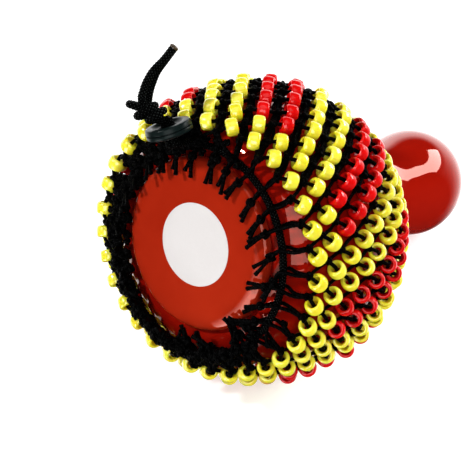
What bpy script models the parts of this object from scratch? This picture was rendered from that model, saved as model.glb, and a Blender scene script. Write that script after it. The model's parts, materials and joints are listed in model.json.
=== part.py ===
"""Cabasa: a hollow gourd of lacquered fibreglass, lying on its side, inside a
knotted net of glass-bright plastic beads that turns round it.

Metres, +Z up. The gourd is designed about its own axis (local +Z, from the
flat foot to the knob of the handle) and an empty then lays it on its side:
the foot faces -Y, the handle points to +Y and down, and the bead net and the
knob rest on the plane z = 0.
"""

import math

import bpy
from mathutils import Matrix, Vector

MM = 0.001

# ---------------------------------------------------------------- dimensions
# Bead net: bead centres lie on an ellipsoid of revolution about the axis.
NET_RADIUS = 73.84 * MM       # bead centres, across the widest ring
NET_HALF_LENGTH = 83.08 * MM  # bead centres, along the axis
NET_CENTRE_Z = 47.27 * MM     # height of the widest ring above the foot
COLUMNS = 32                  # strings of beads round the gourd
RINGS = 11                    # beads on each string
FIRST_LATITUDE = math.radians(-29.92)
LATITUDE_STEP = math.radians(6.747)
FIRST_COLUMN = math.radians(-18.6)   # from the top, towards -X of the gourd
COLUMN_SHIFT = -0.5           # each ring sits half a bead spacing round
RING_TWIST = math.radians(0.763)     # slow extra twist of the net per ring
BUNCH = 0.1158                # beads drawn together along the lower side
BUNCH_AT = math.radians(48.9)
SKEW = math.radians(4.34)     # net pulled askew by its drawstring
SKEW_AT = math.radians(114.2)
SAG = 2.24 * MM               # loose side of the net
SAG_AT = math.radians(122.3)
TAPER = 4.6 * MM              # bulb and net draw in towards the handle
TAPER_FROM = math.radians(8.6)
TAPER_OVER = math.radians(30.0)
SLACK = 1.55 * MM             # slack of the net under the bulb
SLACK_AT = math.radians(175.0)
SLACK_WIDTH = math.radians(32.0)

BEAD_DIAMETER = 9.0 * MM
BEAD_LENGTH = 6.0 * MM
BEAD_FLAT = 1.9 * MM          # half length of the bead's full-width barrel
STRING_DIAMETER = 1.8 * MM
NET_GAP = 0.3 * MM            # between beads and gourd

# Gourd
WALL = 2.5 * MM
FOOT_RADIUS = 43.5 * MM
FOOT_HEIGHT = 5.0 * MM
FOOT_ROUND = 3.0 * MM
JOINT_GAP = 0.3 * MM
SHELL_OPENING = 30.0 * MM
WAIST_RADIUS = 22.2 * MM
WAIST_Z = 150.0 * MM
KNOB_RADIUS = 30.2 * MM
KNOB_Z = 192.0 * MM
GOURD_LENGTH = 223.5 * MM
LATHE_STEPS = 32

# Drawstring, its stop, knot and two tails
DRAW_DIAMETER = 3.6 * MM
DRAW_RADIUS = 52.6 * MM
DRAW_DROP = 3.0 * MM          # the ring hangs below the axis by this much
DRAW_Z = 2.9 * MM
LEAD_AT = math.radians(-20.4)
LEAD_SPREAD = 2.1 * MM        # half the spacing of the two leads
STOP_CENTRE = Vector((20.82, 55.03, -14.19)) * MM
STOP_AXIS = Vector((0.4585, 0.8609, -0.2206)).normalized()
STOP_DIAMETER = 23.0 * MM
STOP_THICKNESS = 5.6 * MM
STOP_HOLE = 9.0 * MM
STOP_DISH = 1.6 * MM
KNOT_CENTRE = Vector((29.25, 61.31, -23.17)) * MM
KNOT_HALF = Vector((9.6, 5.4, 6.2)) * MM     # long, rising, across
KNOT_LONG = Vector((-0.8077, 0.0754, 0.5848)).normalized()
KNOT_RISE = Vector((0.2901, 0.9143, 0.2828))
TAIL_1 = [Vector(p) * MM for p in
          ((32.26, 66.20, -19.61), (33.12, 70.44, -18.90), (33.46, 74.20, -17.95),
           (33.02, 79.83, -16.94), (31.55, 86.18, -14.46), (30.06, 92.65, -11.65))]
TAIL_2 = [Vector(p) * MM for p in
          ((33.38, 66.47, -23.51), (33.66, 70.97, -23.19), (33.50, 75.03, -22.54),
           (32.29, 80.84, -21.04), (29.71, 87.63, -17.85), (28.08, 94.12, -14.93))]
COLLAR_DIAMETER = 3.6 * MM
COLLAR_RING = 11.05           # place of the collar, counted in bead rings

LIE_TILT = math.radians(20.0)  # handle down, resting on net and knob

# ------------------------------------------------------------ clean start
for old in list(bpy.data.objects):
    bpy.data.objects.remove(old, do_unlink=True)

cabasa = bpy.data.collections.new("cabasa")
bpy.context.scene.collection.children.link(cabasa)

gourd_axis = bpy.data.objects.new("gourd_axis", None)
gourd_axis.empty_display_size = 0.05
cabasa.objects.link(gourd_axis)
gourd_axis.rotation_euler = (math.pi / 2 + LIE_TILT, 0.0, math.pi)


def material(name, colour, roughness, metallic=0.0):
    made = bpy.data.materials.new(name)
    made.use_nodes = True
    shader = made.node_tree.nodes["Principled BSDF"]
    shader.inputs["Base Color"].default_value = (*colour, 1.0)
    shader.inputs["Roughness"].default_value = roughness
    shader.inputs["Metallic"].default_value = metallic
    return made


RED_LACQUER = material("red_lacquer", (0.42, 0.016, 0.006), 0.12)
YELLOW_BEAD = material("yellow_bead", (0.90, 0.78, 0.02), 0.16)
RED_BEAD = material("red_bead", (0.60, 0.006, 0.008), 0.16)
BLACK_CORD = material("black_cord", (0.012, 0.012, 0.013), 0.75)
BLACK_PLASTIC = material("black_plastic", (0.01, 0.01, 0.011), 0.22)


def place(obj, look):
    """Put a piece in the collection, on the gourd's axis empty."""
    obj.data.materials.append(look)
    cabasa.objects.link(obj)
    obj.parent = gourd_axis
    return obj


# ------------------------------------------------------------- net geometry
def around(angle):
    """Unit vector across the axis; 0 is the top, positive towards -X."""
    return Vector((-math.sin(angle), math.cos(angle), 0.0))


def column_angle(ring, column):
    """Angle of a bead, ring counted from 0 at the foot."""
    even = FIRST_COLUMN + (column + COLUMN_SHIFT * ring) * 2 * math.pi / COLUMNS
    fade = max(0.0, 1.0 - ring / 13.0)
    bunch = BUNCH * fade * (math.cos(even - BUNCH_AT) - 1.0)
    return even + RING_TWIST * ring + bunch


def ease(x):
    """Smooth step from 0 to 1."""
    x = min(1.0, max(0.0, x))
    return x * x * (3 - 2 * x)


def taper(latitude):
    """How far the bulb is drawn in at a latitude."""
    return TAPER * ease((latitude - TAPER_FROM) / TAPER_OVER)


def slack(ring, angle):
    """How far the net hangs off the underside of the bulb."""
    off = (angle - SLACK_AT + math.pi) % (2 * math.pi) - math.pi
    rings = ease((ring + 0.5) / 7.9) * (1.0 - ease((ring - 7.5) / 3.5))
    return SLACK * rings * math.exp(-0.5 * (off / SLACK_WIDTH) ** 2)


def net_point(ring, angle, lift=0.0):
    """A point of the net, raised by lift off the bead-centre surface."""
    latitude = (FIRST_LATITUDE + LATITUDE_STEP * ring
                + SKEW * math.cos(angle - SKEW_AT))
    loose = max(0.0, math.cos(angle - SAG_AT)) ** 2
    radius = NET_RADIUS + SAG * loose
    out = Vector((math.cos(latitude) / NET_RADIUS,
                  math.sin(latitude) / NET_HALF_LENGTH)).normalized()
    r = (radius * math.cos(latitude) - taper(latitude) + slack(ring, angle)
         + lift * out.x)
    z = NET_CENTRE_Z + NET_HALF_LENGTH * math.sin(latitude) + lift * out.y
    return around(angle) * r + Vector((0.0, 0.0, z))


def draw_radius(angle):
    """Distance of the hanging drawstring ring from the axis."""
    c = math.cos(angle)
    return -DRAW_DROP * c + math.sqrt(DRAW_RADIUS ** 2
                                      - (DRAW_DROP * math.sin(angle)) ** 2)


def draw_point(angle):
    return around(angle) * draw_radius(angle) + Vector((0.0, 0.0, DRAW_Z))


def smooth_path(knots, per_span):
    """Points on a Catmull-Rom curve through the given knots."""
    ends = [knots[0] * 2 - knots[1]] + list(knots) + [knots[-1] * 2 - knots[-2]]
    path = []
    for i in range(1, len(ends) - 2):
        p0, p1, p2, p3 = ends[i - 1:i + 3]
        for s in range(per_span):
            t = s / per_span
            path.append(0.5 * ((2 * p1) + (p2 - p0) * t
                               + (2 * p0 - 5 * p1 + 4 * p2 - p3) * t * t
                               + (3 * p1 - p0 - 3 * p2 + p3) * t ** 3))
    path.append(knots[-1])
    return path


# ---------------------------------------------------------------- modelling
def tube(name, points, diameter, look, sides=2, radii=None, closed=False):
    """A round wire along points, thickened at beads by radii."""
    curve = bpy.data.curves.new(name, "CURVE")
    curve.dimensions = "3D"
    curve.bevel_depth = diameter / 2
    curve.bevel_resolution = sides
    curve.use_fill_caps = not closed
    spline = curve.splines.new("POLY")
    spline.points.add(len(points) - 1)
    for i, p in enumerate(points):
        spline.points[i].co = (p.x, p.y, p.z, 1.0)
        spline.points[i].radius = radii[i] if radii else 1.0
    spline.use_cyclic_u = closed
    return place(bpy.data.objects.new(name, curve), look)


def turned(name, profile, look, steps=LATHE_STEPS):
    """Turn a profile of (radius, height) pairs about the local Z axis."""
    mesh = bpy.data.meshes.new(name)
    mesh.from_pydata([(r, 0.0, z) for r, z in profile],
                     [(i, i + 1) for i in range(len(profile) - 1)], [])
    obj = place(bpy.data.objects.new(name, mesh), look)
    screw = obj.modifiers.new("turn", "SCREW")
    screw.axis = "Z"
    screw.angle = 2 * math.pi
    screw.steps = screw.render_steps = steps
    screw.use_merge_vertices = True
    screw.merge_threshold = 0.00005
    screw.use_smooth_shade = True
    return obj


def bulb_profile(lift, start, stop, count):
    """(radius, height) along the bulb, lifted off the bead-centre surface."""
    pairs = []
    for i in range(count):
        a = start + (stop - start) * i / (count - 1)
        out = Vector((math.cos(a) / NET_RADIUS,
                      math.sin(a) / NET_HALF_LENGTH)).normalized()
        pairs.append(Vector((NET_RADIUS * math.cos(a) - taper(a) + lift * out.x,
                             NET_CENTRE_Z + NET_HALF_LENGTH * math.sin(a)
                             + lift * out.y)))
    return pairs


def outer_wall():
    """Outer (radius, height) of the shell, from the knob tip to the foot."""
    knots = [Vector((0.0, GOURD_LENGTH))]
    for turn in (22, 44, 64, 82):                       # rounded end of the knob
        t = math.radians(turn)
        knots.append(Vector((KNOB_RADIUS * math.sin(t),
                             KNOB_Z + (GOURD_LENGTH - KNOB_Z) * math.cos(t))))
    knots.append(Vector((KNOB_RADIUS, KNOB_Z - 4 * MM)))
    knots.append(Vector((0.93 * KNOB_RADIUS, KNOB_Z - 16 * MM)))
    knots.append(Vector((0.83 * KNOB_RADIUS, KNOB_Z - 27 * MM)))
    knots.append(Vector((WAIST_RADIUS, WAIST_Z)))       # narrow of the handle
    knots.append(Vector((WAIST_RADIUS + 1.4 * MM, WAIST_Z - 11 * MM)))
    knots.append(Vector((WAIST_RADIUS + 5.6 * MM, WAIST_Z - 23 * MM)))
    knots.append(Vector((WAIST_RADIUS + 11.2 * MM, WAIST_Z - 34 * MM)))
    under = -(BEAD_DIAMETER / 2 + NET_GAP)
    bulb = bulb_profile(under, math.radians(50), math.radians(-20), 10)
    floor = FOOT_HEIGHT + JOINT_GAP
    lean = math.atan2(math.sin(math.radians(20)) / NET_HALF_LENGTH,
                      math.cos(math.radians(20)) / NET_RADIUS)
    swing = (bulb[-1].y - floor) / (1.0 - math.sin(lean))   # shoulder radius
    shoulder = []
    for k in (1, 2, 3, 4):
        a = lean + (math.pi / 2 - lean) * k / 4
        shoulder.append(bulb[-1] + swing * Vector((math.cos(a) - math.cos(lean),
                                                   math.sin(lean) - math.sin(a))))
    return [Vector((p.x, p.y)) for p in
            smooth_path([Vector((k.x, k.y, 0.0)) for k in knots], 2)
            ] + bulb + shoulder + [Vector((SHELL_OPENING, floor))]


def inner_wall(outer):
    """The outer wall moved in by the wall thickness, foot to knob."""
    inside = []
    for i in range(1, len(outer) - 1, 3):
        run = (outer[i + 1] - outer[i - 1]).normalized()
        p = outer[i] + Vector((run.y, -run.x)) * WALL
        inside.append(p)
    top = Vector((0.0, outer[0].y - WALL))
    bottom = Vector((SHELL_OPENING, outer[-1].y + WALL))
    inside = [p for p in inside if p.x > 2 * MM and p.y > bottom.y]
    return [bottom] + list(reversed(inside)) + [top]


# Gourd shell: turned, hollow, open under the foot disc.
outer = outer_wall()
shell_profile = [(p.x, p.y) for p in outer + inner_wall(outer)]
turned("gourd_shell", shell_profile, RED_LACQUER)

# Foot disc: flat face with a rounded rim, bonded over the opening.
rim = [(FOOT_RADIUS - FOOT_ROUND + FOOT_ROUND * math.cos(a),
        FOOT_ROUND - FOOT_ROUND * math.sin(a))
       for a in (math.radians(15 * k) for k in range(7))]
turned("foot_disc", [(0.0, FOOT_HEIGHT), (FOOT_RADIUS, FOOT_HEIGHT)] + rim
       + [(0.0, 0.0)], RED_LACQUER)

# Bead strings: each cord with its beads, from the drawstring to the collar.
for column in range(COLUMNS):
    points, radii = [], []
    thin = STRING_DIAMETER / BEAD_DIAMETER
    first = column_angle(0, column)
    bead0 = net_point(0, first)
    hook = draw_point(first - 0.02)
    clear = DRAW_DIAMETER / 2 + 0.5 * MM
    inward = (bead0 - hook).normalized()
    bead0_gap = (bead0 - hook).length - clear - 0.2 * MM
    points += [hook + inward * clear,
               bead0 - inward * min(BEAD_FLAT + 2.0 * MM, bead0_gap)]
    radii += [thin, thin]
    for ring in range(RINGS):
        here = net_point(ring, column_angle(ring, column))
        nxt = net_point(ring + 1, column_angle(ring + 1, column))
        prv = net_point(ring - 1, column_angle(ring - 1, column))
        along = (nxt - prv).normalized()
        if ring == 0:
            along = ((nxt - here).normalized()
                     + (here - hook).normalized()).normalized()
        points += [here - along * BEAD_FLAT, here + along * BEAD_FLAT]
        radii += [1.0, 1.0]
        if ring < RINGS - 1:
            half = net_point(ring + 0.5, column_angle(ring + 0.5, column))
            points.append(half)
            radii.append(thin)
    end = RINGS - 1 + 0.5
    points.append(net_point(end, column_angle(end, column), -1.6 * MM))
    end = RINGS - 1 + 0.8
    points.append(net_point(end, column_angle(end, column), -2.4 * MM))
    radii += [thin, thin]
    red = ((column + 1) // 2) % 2 == 0
    tube("%s_string_%02d" % ("red" if red else "yellow", column + 1), points,
         BEAD_DIAMETER, RED_BEAD if red else YELLOW_BEAD, 1, radii)

# Drawstring: one cord round the opening, its two ends led out side by side.
side = STOP_AXIS.cross(Vector((0.0, 0.0, 1.0))).normalized()
if side.dot(around(LEAD_AT + 0.1) - around(LEAD_AT - 0.1)) < 0:
    side.negate()
ring_gap = math.radians(7.0)
sweep = 2 * math.pi - 2 * ring_gap
loop = [draw_point(LEAD_AT + ring_gap + sweep * k / 30) for k in range(31)]
lead_in = [STOP_CENTRE + STOP_AXIS * h * MM for h in (-8.0, -2.5, 4.2)]
forward = around(LEAD_AT) * 51.0 * MM + Vector((0.0, 0.0, -4.6 * MM))
lead_a = [forward + side * 3.6 * MM] + [p + side * LEAD_SPREAD for p in lead_in]
lead_b = [forward - side * 3.6 * MM] + [p - side * LEAD_SPREAD for p in lead_in]
route = list(reversed(lead_a)) + loop + lead_b
cord = (smooth_path(list(reversed(lead_a)) + loop[:2], 2)[:-1] + loop[1:-2]
        + smooth_path(loop[-2:] + lead_b, 2))
tube("drawstring", cord, DRAW_DIAMETER, BLACK_CORD)

# Collar: the cord that gathers the strings round the handle side.
collar = [net_point(COLLAR_RING, 2 * math.pi * k / 32,
                    -(BEAD_DIAMETER / 2 + NET_GAP) + COLLAR_DIAMETER / 2 + NET_GAP)
          for k in range(32)]
tube("neck_collar", collar, COLLAR_DIAMETER, BLACK_CORD, closed=True)

# Cord stop: a dished disc that slides on the two leads.
r_out, r_hole, half = STOP_DIAMETER / 2, STOP_HOLE / 2, STOP_THICKNESS / 2
lip = 1.6 * MM
edge = [(r_out - lip + lip * math.sin(a), half - lip + lip * math.cos(a))
        for a in (math.radians(22.5 * k) for k in range(5))]
foot = [(r_out - lip + lip * math.cos(a), -half + lip - lip * math.sin(a))
        for a in (math.radians(30 * k) for k in range(4))]
stop_profile = ([(r_hole, half - STOP_DISH), (0.66 * r_out, half - 0.5 * STOP_DISH)]
                + edge + foot + [(r_hole, -half), (r_hole, half - STOP_DISH)])
stop = turned("cord_stop", stop_profile, BLACK_PLASTIC, 28)
stop.rotation_mode = "QUATERNION"
stop.rotation_quaternion = Vector((0.0, 0.0, 1.0)).rotation_difference(STOP_AXIS)
stop.location = STOP_CENTRE

# Knot: the lump tied in the doubled cord above the stop.
bpy.ops.mesh.primitive_uv_sphere_add(segments=16, ring_count=10, radius=1.0)
knot = bpy.context.object
for holder in list(knot.users_collection):
    holder.objects.unlink(knot)
knot.name = knot.data.name = "stop_knot"
knot.data.transform(Matrix.Diagonal((*KNOT_HALF, 1.0)))
knot.data.shade_smooth()
place(knot, BLACK_CORD)
knot.rotation_mode = "QUATERNION"
rise = (KNOT_RISE - KNOT_LONG * KNOT_RISE.dot(KNOT_LONG)).normalized()
knot.rotation_quaternion = Matrix((KNOT_LONG, rise, KNOT_LONG.cross(rise))
                                  ).transposed().to_quaternion()
knot.location = KNOT_CENTRE

# Tails: the two short stiff ends of the drawstring, standing side by side.
tube("drawstring_tail_1", smooth_path(TAIL_1, 2), DRAW_DIAMETER, BLACK_CORD)
tube("drawstring_tail_2", smooth_path(TAIL_2, 2), DRAW_DIAMETER, BLACK_CORD)

# ------------------------------------------------- rest on the plane z = 0
FREE_CORDS = ("drawstring_tail_1", "drawstring_tail_2", "stop_knot")
bpy.context.view_layer.update()
graph = bpy.context.evaluated_depsgraph_get()
low, high = Vector((9.0,) * 3), Vector((-9.0,) * 3)
for obj in cabasa.objects:
    if obj.type == "EMPTY" or obj.name in FREE_CORDS:
        continue
    shape = obj.evaluated_get(graph)
    mesh = shape.to_mesh()
    for v in mesh.vertices:
        w = shape.matrix_world @ v.co
        for k in range(3):
            low[k] = min(low[k], w[k])
            high[k] = max(high[k], w[k])
    shape.to_mesh_clear()
gourd_axis.location = (-(low.x + high.x) / 2, -(low.y + high.y) / 2, -low.z)
bpy.context.view_layer.update()
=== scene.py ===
import json
import math
import random

import bpy
import numpy as np
from mathutils import Matrix, Vector


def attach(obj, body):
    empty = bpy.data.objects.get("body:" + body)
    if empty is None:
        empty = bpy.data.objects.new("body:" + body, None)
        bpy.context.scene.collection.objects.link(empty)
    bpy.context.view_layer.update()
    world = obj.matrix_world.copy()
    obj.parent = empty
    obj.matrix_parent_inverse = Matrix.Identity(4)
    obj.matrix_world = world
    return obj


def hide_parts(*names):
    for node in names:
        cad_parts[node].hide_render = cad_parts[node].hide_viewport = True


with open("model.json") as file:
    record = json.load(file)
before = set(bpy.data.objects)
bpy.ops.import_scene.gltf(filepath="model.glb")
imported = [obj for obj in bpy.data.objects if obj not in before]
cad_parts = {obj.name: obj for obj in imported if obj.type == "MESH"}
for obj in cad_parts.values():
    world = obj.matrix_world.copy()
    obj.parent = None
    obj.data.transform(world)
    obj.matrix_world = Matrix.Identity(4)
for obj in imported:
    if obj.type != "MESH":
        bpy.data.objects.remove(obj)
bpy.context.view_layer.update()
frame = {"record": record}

MM = 0.001

# ------------------------------------------------------------------ the frame
# The gourd's own axes: local Z from the foot to the knob, local Y its upper side.
spin = next(j for j in frame["record"]["behaviour"]["joints"]
            if j["name"] == "net_spin")
BASE = Vector(spin["pos_m"])
AXIS = Vector(spin["axis"]).normalized()
LOCAL_X = Vector((-1.0, 0.0, 0.0))
LOCAL_Y = AXIS.cross(LOCAL_X).normalized()
GOURD = np.array([[LOCAL_X[k], LOCAL_Y[k], AXIS[k]] for k in range(3)])
BASE_NP = np.array(BASE)


def to_world(points):
    return np.asarray(points, float) @ GOURD.T + BASE_NP


# ------------------------------------------------------------------ the camera
AZIMUTH, ELEVATION = math.radians(41.594), math.radians(39.35)
FOCAL_PX, IMAGE_W = 1640.0, 475.0
FOOT_IN_VIEW = Vector((-20.72, 7.182, 800.0)) * MM     # right, down, away
right = Vector((math.cos(AZIMUTH), math.sin(AZIMUTH), 0.0))
level = Vector((-math.sin(AZIMUTH), math.cos(AZIMUTH), 0.0))
away = level * math.cos(ELEVATION) - Vector((0, 0, 1)) * math.sin(ELEVATION)
up = level * math.sin(ELEVATION) + Vector((0, 0, 1)) * math.cos(ELEVATION)
camera_data = bpy.data.cameras.new("camera")
camera_data.sensor_fit = "HORIZONTAL"
camera_data.sensor_width = 36.0
camera_data.lens = 36.0 * FOCAL_PX / IMAGE_W
camera_data.clip_start = 0.01
camera = bpy.data.objects.new("camera", camera_data)
bpy.context.scene.collection.objects.link(camera)
eye = BASE - (right * FOOT_IN_VIEW.x - up * FOOT_IN_VIEW.y + away * FOOT_IN_VIEW.z)
camera.matrix_world = Matrix((
    (right.x, up.x, -away.x, eye.x),
    (right.y, up.y, -away.y, eye.y),
    (right.z, up.z, -away.z, eye.z),
    (0.0, 0.0, 0.0, 1.0)))
bpy.context.scene.camera = camera

# ------------------------------------------------------- dimensions of the part
NET_RADIUS = 73.84 * MM
NET_HALF_LENGTH = 83.08 * MM
NET_CENTRE_Z = 47.27 * MM
COLUMNS, RINGS = 32, 11
FIRST_LATITUDE = math.radians(-29.92)
LATITUDE_STEP = math.radians(6.747)
FIRST_COLUMN = math.radians(-18.6)
COLUMN_SHIFT = -0.5
RING_TWIST = math.radians(0.763)
BUNCH, BUNCH_AT = 0.1158, math.radians(48.9)
SKEW, SKEW_AT = math.radians(4.34), math.radians(114.2)
SAG, SAG_AT = 2.24 * MM, math.radians(122.3)
TAPER, TAPER_FROM, TAPER_OVER = 4.6 * MM, math.radians(8.6), math.radians(30.0)
SLACK, SLACK_AT, SLACK_WIDTH = 1.55 * MM, math.radians(175.0), math.radians(32.0)
BEAD_RADIUS = 4.5 * MM
BEAD_HALF = 3.0 * MM
NET_GAP = 0.3 * MM

WALL = 2.5 * MM
FOOT_RADIUS, FOOT_HEIGHT, FOOT_ROUND = 43.5 * MM, 5.0 * MM, 3.0 * MM
SHELL_OPENING = 30.0 * MM
WAIST_RADIUS, WAIST_Z = 22.2 * MM, 150.0 * MM
KNOB_RADIUS, KNOB_Z = 30.2 * MM, 192.0 * MM
GOURD_LENGTH = 223.5 * MM
LABEL_RADIUS = 20.9 * MM

DRAW_DIAMETER = 3.6 * MM
DRAW_RADIUS, DRAW_DROP, DRAW_Z = 52.6 * MM, 3.0 * MM, 2.9 * MM
LEAD_AT, LEAD_SPREAD = math.radians(-20.4), 2.1 * MM
STOP_CENTRE = Vector((20.82, 55.03, -14.19)) * MM
STOP_AXIS = Vector((0.4585, 0.8609, -0.2206)).normalized()
STOP_RADIUS, STOP_HALF, STOP_HOLE = 11.5 * MM, 2.8 * MM, 4.5 * MM
COIL_FROM = Vector((29.92, 61.67, -22.64)) * MM        # wraps of the knot above the stop
COIL_TO = Vector((25.93, 60.66, -19.68)) * MM
COIL_ACROSS = Vector((-0.5455, 0.5326, 0.6471)).normalized()
COIL_FRONT = Vector((-0.5133, 0.3980, -0.7603)).normalized()
BIGHT = [Vector(p) * MM for p in
         ((29.35, 62.25, -21.95), (32.15, 62.94, -25.58), (36.14, 62.91, -26.98),
          (38.15, 62.21, -25.28), (36.78, 61.72, -22.25), (32.42, 62.23, -20.62))]
INTO_KNOT = [Vector(p) * MM for p in
             ((24.32, 58.64, -17.29), (27.99, 60.81, -20.48), (30.26, 62.98, -22.18))]
TAIL_1 = [Vector(p) * MM for p in
          ((32.26, 66.20, -19.61), (33.12, 70.44, -18.90), (33.46, 74.20, -17.95),
           (33.02, 79.83, -16.94), (31.55, 86.18, -14.46), (30.06, 92.65, -11.65))]
TAIL_2 = [Vector(p) * MM for p in
          ((33.38, 66.47, -23.51), (33.66, 70.97, -23.19), (33.50, 75.03, -22.54),
           (32.29, 80.84, -21.04), (29.71, 87.63, -17.85), (28.08, 94.12, -14.93))]
COLLAR_DIAMETER, COLLAR_RING = 3.6 * MM, 11.05

CORD_RADIUS = 0.90 * MM            # thin cord of the net
KNOT_STEP = 6.7 * MM               # from a bead's middle back to its knot


def around(angle):
    return Vector((-math.sin(angle), math.cos(angle), 0.0))


def column_angle(ring, column):
    even = FIRST_COLUMN + (column + COLUMN_SHIFT * ring) * 2 * math.pi / COLUMNS
    fade = max(0.0, 1.0 - ring / 13.0)
    bunch = BUNCH * fade * (math.cos(even - BUNCH_AT) - 1.0)
    return even + RING_TWIST * ring + bunch


def ease(x):
    x = min(1.0, max(0.0, x))
    return x * x * (3 - 2 * x)


def taper(latitude):
    """How far the bulb is drawn in at a latitude."""
    return TAPER * ease((latitude - TAPER_FROM) / TAPER_OVER)


def slack(ring, angle):
    """How far the net hangs off the underside of the bulb."""
    off = (angle - SLACK_AT + math.pi) % (2 * math.pi) - math.pi
    rings = ease((ring + 0.5) / 7.9) * (1.0 - ease((ring - 7.5) / 3.5))
    return SLACK * rings * math.exp(-0.5 * (off / SLACK_WIDTH) ** 2)


def net_point(ring, angle, lift=0.0):
    latitude = (FIRST_LATITUDE + LATITUDE_STEP * ring
                + SKEW * math.cos(angle - SKEW_AT))
    loose = max(0.0, math.cos(angle - SAG_AT)) ** 2
    radius = NET_RADIUS + SAG * loose
    out = Vector((math.cos(latitude) / NET_RADIUS,
                  math.sin(latitude) / NET_HALF_LENGTH)).normalized()
    r = radius * math.cos(latitude) - taper(latitude) + slack(ring, angle) + lift * out.x
    z = NET_CENTRE_Z + NET_HALF_LENGTH * math.sin(latitude) + lift * out.y
    return around(angle) * r + Vector((0.0, 0.0, z))


def draw_point(angle):
    c = math.cos(angle)
    r = -DRAW_DROP * c + math.sqrt(DRAW_RADIUS ** 2 - (DRAW_DROP * math.sin(angle)) ** 2)
    return around(angle) * r + Vector((0.0, 0.0, DRAW_Z))


def smooth_path(knots, per_span):
    """Points on a Catmull-Rom curve through the given knots."""
    knots = [Vector(k) for k in knots]
    ends = [knots[0] * 2 - knots[1]] + knots + [knots[-1] * 2 - knots[-2]]
    path = []
    for i in range(1, len(ends) - 2):
        p0, p1, p2, p3 = ends[i - 1:i + 3]
        for s in range(per_span):
            t = s / per_span
            path.append(0.5 * ((2 * p1) + (p2 - p0) * t
                               + (2 * p0 - 5 * p1 + 4 * p2 - p3) * t * t
                               + (3 * p1 - p0 - 3 * p2 + p3) * t ** 3))
    path.append(knots[-1])
    return path


def resample(path, step):
    """The same line with points an even distance apart."""
    p = np.array([tuple(q) for q in path])
    run = np.concatenate([[0.0], np.cumsum(np.linalg.norm(np.diff(p, axis=0), axis=1))])
    count = max(2, int(round(run[-1] / step)) + 1)
    s = np.linspace(0.0, run[-1], count)
    return np.stack([np.interp(s, run, p[:, k]) for k in range(3)], axis=1)


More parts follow.
